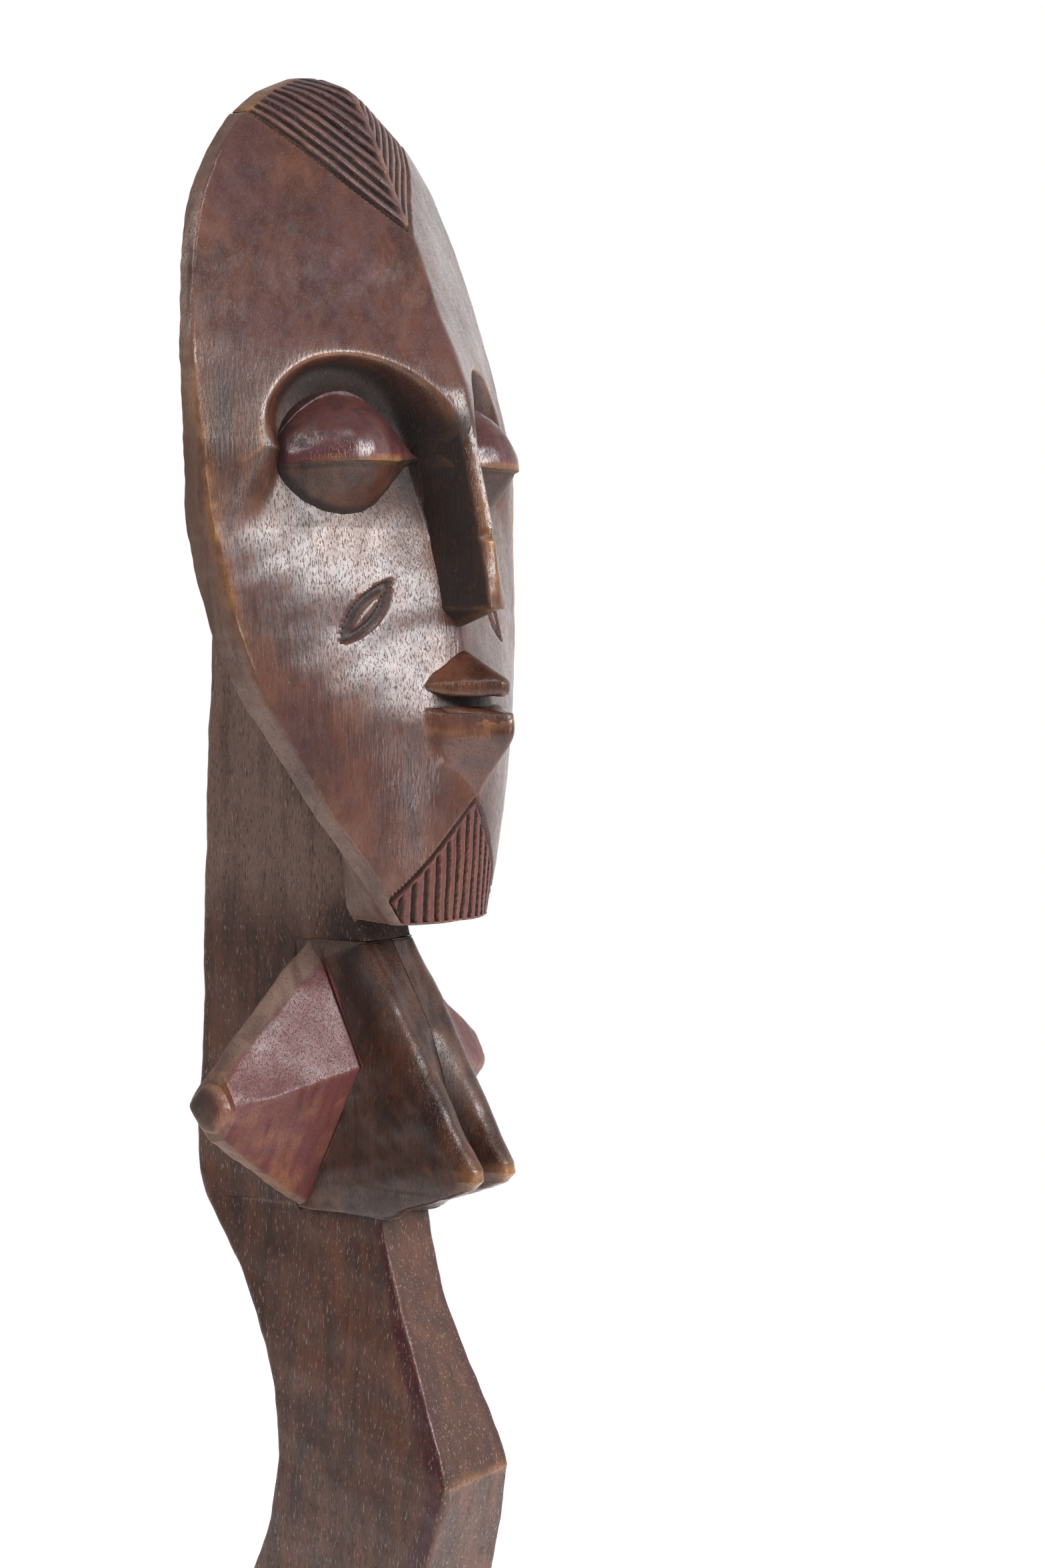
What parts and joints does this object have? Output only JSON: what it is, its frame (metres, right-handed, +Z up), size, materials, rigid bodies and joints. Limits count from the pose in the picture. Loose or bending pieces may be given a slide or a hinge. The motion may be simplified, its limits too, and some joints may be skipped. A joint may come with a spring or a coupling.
{
  "type": "carved ancestor figure",
  "caption": "Standing wooden ancestor figure with a large shield-shaped face, pyramid arms, a deep plank trunk and short bent legs on a low block base.",
  "frame": {"origin": "middle of the underside of the base", "axes": "+Z up, the figure looks along -Y, its left side is +X"},
  "size_m": [0.1394, 0.1132, 0.6034],
  "materials": {
    "plain_wood": "dark brown hardwood, adzed along the grain, matte",
    "polished_wood": "dark brown hardwood, handled to a satin gloss, golden brown on worn edges",
    "red_pigment": "dark hardwood rubbed with purple-red pigment, satin"
  },
  "bodies": {
    "root": {"base": "plain_wood", "left_foot": "plain_wood", "right_foot": "plain_wood", "left_leg": "plain_wood", "right_leg": "plain_wood", "hips": "plain_wood", "trunk": "plain_wood", "left_breast": "polished_wood", "right_breast": "polished_wood", "left_arm": "red_pigment", "right_arm": "red_pigment", "face": "polished_wood", "nose": "polished_wood", "upper_lip": "polished_wood", "lower_lip": "polished_wood", "left_eye": "red_pigment", "right_eye": "red_pigment", "coiffure": "red_pigment", "beard": "red_pigment"}
  },
  "joints": []
}
